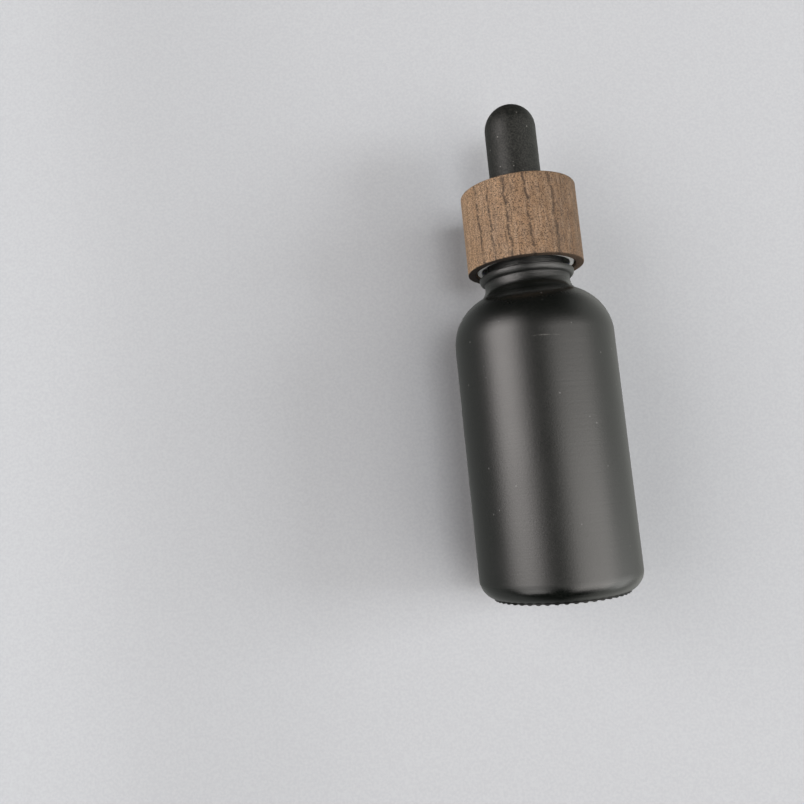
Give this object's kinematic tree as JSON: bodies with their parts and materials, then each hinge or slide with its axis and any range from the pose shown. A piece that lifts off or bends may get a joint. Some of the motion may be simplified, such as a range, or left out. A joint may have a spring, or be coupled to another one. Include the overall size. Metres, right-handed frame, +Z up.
{
  "type": "dropper bottle",
  "caption": "Round black glass dropper bottle with a threaded neck, closed by a screw-on dropper: wooden collar, rubber squeeze bulb and glass pipette.",
  "frame": {"origin": "centre of the underside of the bottle, on the plane it stands on", "axes": "+Z up the bottle's axis towards the bulb; +X and +Y are free, because the object is turned about Z"},
  "size_m": [0.033, 0.033, 0.1045],
  "materials": {
    "black_glass": "frosted black",
    "wood": "open-grained, matt",
    "white_plastic": "moulded white",
    "black_rubber": "matt black",
    "clear_glass": "clear, fire-polished",
    "liner": "soft ivory foam sheet"
  },
  "bodies": {
    "bottle": {"glass_bottle": "black_glass"},
    "washer": {"seal_washer": "liner"},
    "pipette": {"glass_pipette": "clear_glass"},
    "cap": {"inner_cap": "white_plastic", "wood_collar": "wood"},
    "bulb": {"rubber_bulb": "black_rubber"}
  },
  "joints": [
    {"name": "dropper_lift", "type": "slide", "parent": "bottle", "child": "washer", "axis": [0, 0, 1], "range_m": [0, 0.08]},
    {"name": "thread_rise", "type": "slide", "parent": "washer", "child": "pipette", "axis": [0, 0, 1], "range_m": [0, 0.0045]},
    {"name": "cap_turn", "type": "hinge", "parent": "pipette", "child": "cap", "pos_m": [0, 0, 0.0785], "axis": [0, 0, 1], "range_deg": [0, 540]},
    {"name": "bulb_press", "type": "slide", "parent": "pipette", "child": "bulb", "axis": [0, 0, -1], "range_m": [0, 0.004], "stiffness_N_per_m": 1200, "deforming": ["rubber_bulb"]}
  ],
  "couplings": [
    {"joint": "thread_rise", "follows": "cap_turn", "m_per_rad": 0.00047746}
  ]
}
